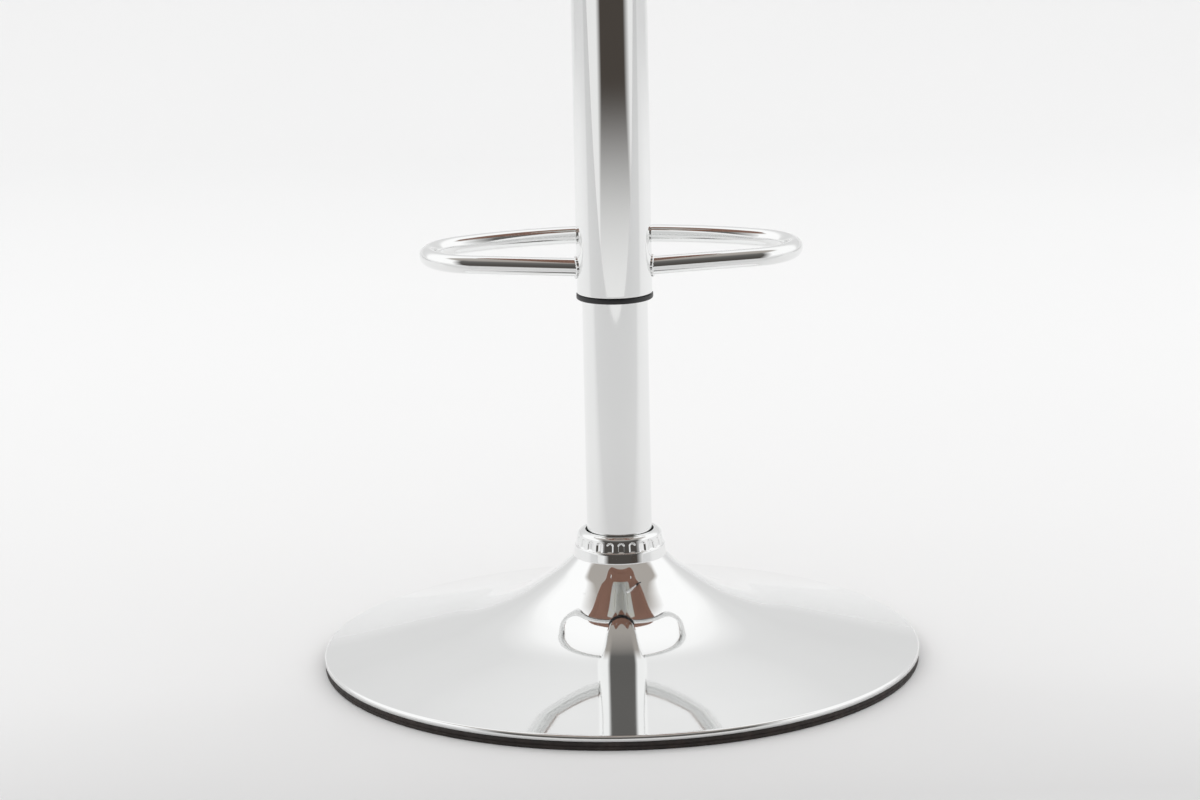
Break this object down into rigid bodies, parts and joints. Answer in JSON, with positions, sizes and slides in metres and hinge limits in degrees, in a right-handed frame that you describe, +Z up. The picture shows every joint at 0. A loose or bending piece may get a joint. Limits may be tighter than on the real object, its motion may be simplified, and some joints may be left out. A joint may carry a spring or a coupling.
{
  "type": "counter stool",
  "caption": "Height-adjustable swivel counter stool: chromed trumpet base, telescoping column with a footrest loop, and a padded square seat with a lift lever.",
  "frame": {"origin": "on the floor, on the column's axis", "axes": "+Z up along the column, +Y the way the sitter faces over the footrest, +X the lever's side"},
  "size_m": [0.41, 0.41, 0.7151],
  "materials": {
    "chrome": "polished",
    "chromed_plastic": "polished",
    "zinc": "satin",
    "bare_steel": "satin",
    "black_steel": "satin",
    "rubber": "matte",
    "black_plastic": "satin",
    "leathercloth": "satin",
    "foam": "matte",
    "plywood": "matte"
  },
  "bodies": {
    "base": {"base_shell": "chrome", "base_gasket": "rubber", "hub_socket": "black_steel", "base_brace": "black_steel", "fluted_collar": "chromed_plastic", "lower_tube": "chrome", "tube_foot_plate": "bare_steel", "guide_bush": "black_plastic", "bearing_lower_race": "bare_steel"},
    "ball_cage": {"bearing_ball_cage": "bare_steel"},
    "rod": {"bearing_upper_race": "bare_steel", "piston_rod": "bare_steel", "piston_head": "bare_steel", "rubber_bump_stop": "rubber", "rod_washer": "zinc", "rod_clip": "bare_steel"},
    "seat": {"upper_tube": "chrome", "bottom_bushing": "black_plastic", "footrest_loop": "chrome", "tube_centring_ring": "black_plastic", "gas_cylinder": "black_steel", "rod_guide_seal": "black_plastic", "seat_plate": "zinc", "plate_screw_1": "zinc", "plate_screw_2": "zinc", "plate_screw_3": "zinc", "plate_screw_4": "zinc", "tee_nut_1": "zinc", "tee_nut_2": "zinc", "tee_nut_3": "zinc", "tee_nut_4": "zinc", "lever_pivot_pin": "zinc", "seat_board": "plywood", "seat_underside_cover": "leathercloth", "seat_foam": "foam", "seat_cover": "leathercloth"},
    "lever": {"lever_rod": "chrome", "lever_grip": "black_plastic"},
    "release_pin": {"release_pin": "bare_steel"}
  },
  "joints": [
    {"name": "seat_swivel", "type": "hinge", "parent": "base", "child": "rod", "pos_m": [0, 0, 0.026], "axis": [0, 0, 1], "continuous": true},
    {"name": "bearing_cage_spin", "type": "hinge", "parent": "base", "child": "ball_cage", "pos_m": [0, 0, 0.0258], "axis": [0, 0, 1], "continuous": true},
    {"name": "seat_lift", "type": "slide", "parent": "rod", "child": "seat", "axis": [0, 0, 1], "range_m": [-0.15, 0.055]},
    {"name": "lever_pull", "type": "hinge", "parent": "seat", "child": "lever", "pos_m": [0.022, 0, 0.6309], "axis": [0, -1, 0], "range_deg": [0, 8], "stiffness_Nm_per_rad": 1.5, "springref_deg": -6.88},
    {"name": "release_pin_press", "type": "slide", "parent": "seat", "child": "release_pin", "axis": [0, 0, -1], "range_m": [0, 0.0031]}
  ],
  "couplings": [
    {"joint": "bearing_cage_spin", "follows": "seat_swivel", "ratio": 0.5},
    {"joint": "release_pin_press", "follows": "lever_pull", "m_per_rad": 0.022}
  ]
}
